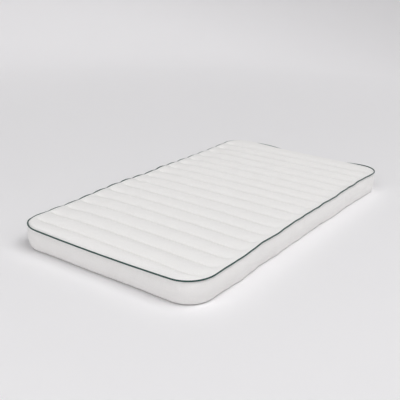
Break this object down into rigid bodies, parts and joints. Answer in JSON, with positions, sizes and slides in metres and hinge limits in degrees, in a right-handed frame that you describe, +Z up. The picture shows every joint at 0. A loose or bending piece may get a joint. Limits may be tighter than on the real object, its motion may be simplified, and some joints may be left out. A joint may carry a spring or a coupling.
{
  "type": "kapok cot mattress",
  "caption": "Flat cot mattress: quilted cotton cover filled with kapok, straight cross channels, plain side band, rounded corners and a thin green piping along the top edge.",
  "frame": {"origin": "on the surface the mattress lies on, under the middle of its box", "axes": "+X along the length, +Y across the width, +Z up through the thickness"},
  "size_m": [1.1994, 0.666, 0.084],
  "materials": {
    "cotton_cover": "undyed woven cotton, matt, slightly slubby",
    "piping_cloth": "dark green woven cotton bias strip over cord, matt"
  },
  "bodies": {
    "root": {"mattress": "cotton_cover", "piping": "piping_cloth"}
  },
  "joints": []
}
